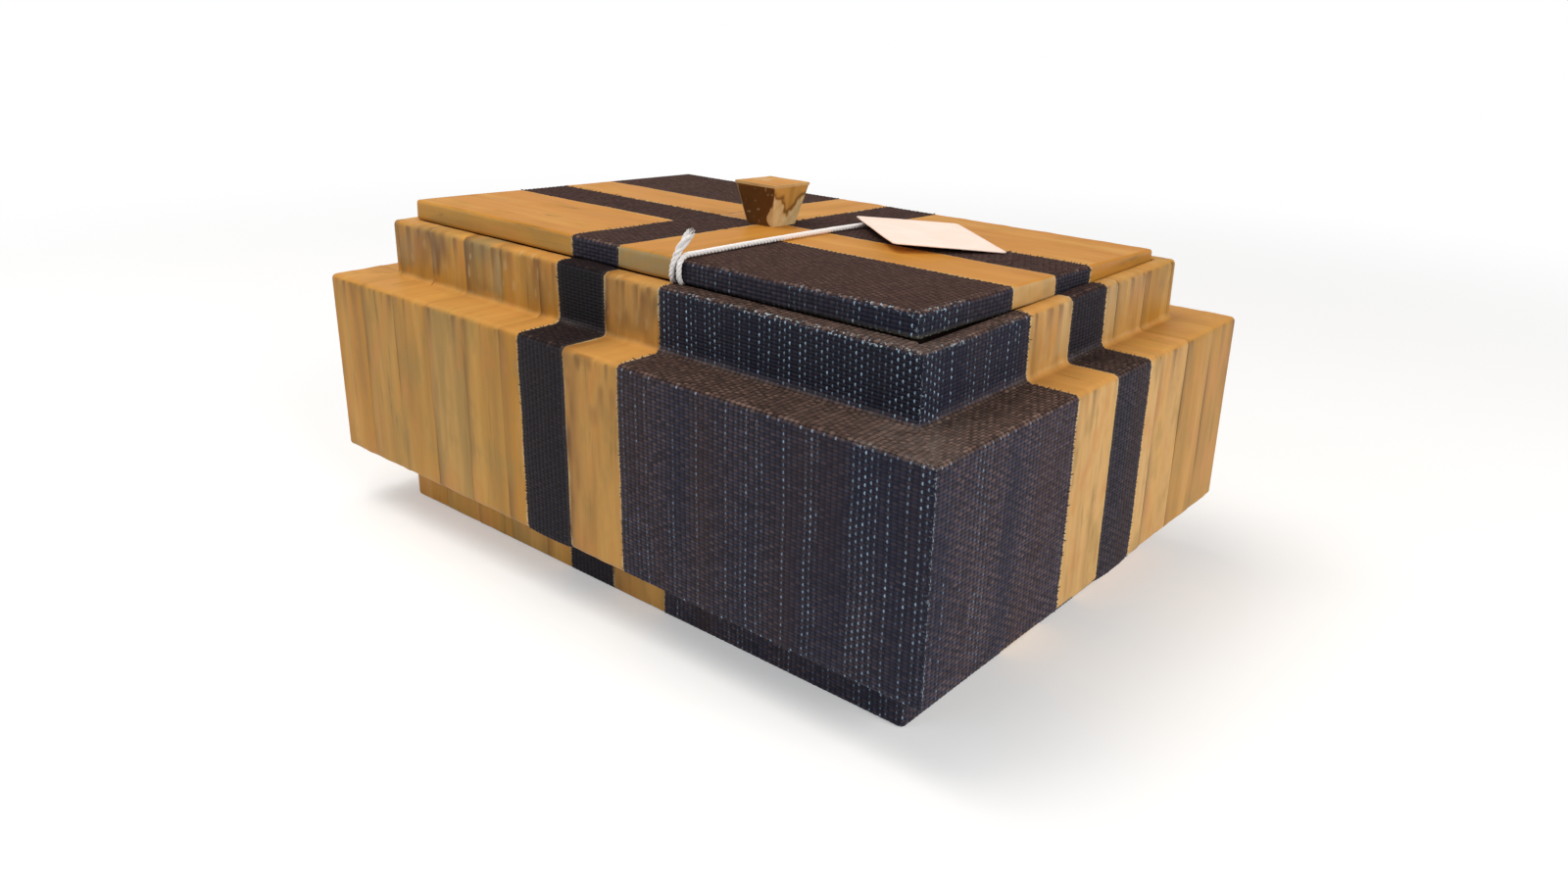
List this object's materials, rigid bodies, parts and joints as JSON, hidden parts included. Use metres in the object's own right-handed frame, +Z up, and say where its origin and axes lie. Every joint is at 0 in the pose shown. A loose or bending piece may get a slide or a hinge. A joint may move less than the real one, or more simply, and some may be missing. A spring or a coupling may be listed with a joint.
{
  "type": "keepsake box",
  "caption": "Stepped keepsake box on a recessed plinth, covered in counterchanged pressed stalk strips and dark woven cloth, with a lift-off lid, a flared square knob and a blank tag.",
  "frame": {"origin": "on the table, under the middle of the box", "axes": "+X along the length, -Y towards the front face, +Z up"},
  "size_m": [0.3, 0.206, 0.1449],
  "materials": {
    "carcase_board": "raw fibre board",
    "pressed_stalk": "varnished flattened stalk",
    "dark_cloth": "plain weave, glossy varnish",
    "lining_paper": "dark hand-made paper",
    "lid_sheet_card": "dark card",
    "knob_veneer": "glossy varnish",
    "screw_steel": "zinc plated",
    "tag_card": "matt card",
    "tag_string": "twisted cotton"
  },
  "bodies": {
    "box": {"back_belt_board": "carcase_board", "back_cloth_band": "dark_cloth", "back_left_cloth_corner": "dark_cloth", "back_right_stalk_corner": "pressed_stalk", "back_stalk_band": "pressed_stalk", "back_wall": "carcase_board", "back_wall_lining": "lining_paper", "floor_lining": "lining_paper", "floor_panel": "carcase_board", "front_belt_board": "carcase_board", "front_cloth_band": "dark_cloth", "front_left_stalk_corner": "pressed_stalk", "front_right_cloth_corner": "dark_cloth", "front_stalk_band": "pressed_stalk", "front_wall": "carcase_board", "front_wall_lining": "lining_paper", "left_belt_board": "carcase_board", "left_cloth_band": "dark_cloth", "left_stalk_band": "pressed_stalk", "left_wall": "carcase_board", "left_wall_lining": "lining_paper", "plinth_back_cloth_band": "dark_cloth", "plinth_back_left_cloth_corner": "dark_cloth", "plinth_back_right_stalk_corner": "pressed_stalk", "plinth_back_stalk_band": "pressed_stalk", "plinth_front_cloth_band": "dark_cloth", "plinth_front_left_stalk_corner": "pressed_stalk", "plinth_front_right_cloth_corner": "dark_cloth", "plinth_front_stalk_band": "pressed_stalk", "plinth_left_cloth_band": "dark_cloth", "plinth_left_stalk_band": "pressed_stalk", "plinth_right_cloth_band": "dark_cloth", "plinth_right_stalk_band": "pressed_stalk", "right_belt_board": "carcase_board", "right_cloth_band": "dark_cloth", "right_stalk_band": "pressed_stalk", "right_wall": "carcase_board", "right_wall_lining": "lining_paper"},
    "lid": {"back_batten": "carcase_board", "front_batten": "carcase_board", "knob_core": "carcase_board", "knob_screw": "screw_steel", "knob_side_veneers": "knob_veneer", "knob_top_veneer": "pressed_stalk", "left_batten": "carcase_board", "lid_back_left_cloth_panel": "dark_cloth", "lid_back_left_stalk_angle": "pressed_stalk", "lid_back_right_cloth_angle": "dark_cloth", "lid_back_right_stalk_panel": "pressed_stalk", "lid_board": "carcase_board", "lid_front_left_cloth_angle": "dark_cloth", "lid_front_left_stalk_panel": "pressed_stalk", "lid_front_right_cloth_panel": "dark_cloth", "lid_front_right_stalk_angle": "pressed_stalk", "lid_sheet": "lid_sheet_card", "right_batten": "carcase_board", "tag_card": "tag_card", "tag_string": "tag_string"}
  },
  "joints": [
    {"name": "lid_lift", "type": "slide", "parent": "box", "child": "lid", "axis": [0, 0, 1], "range_m": [0, 0.12]}
  ]
}
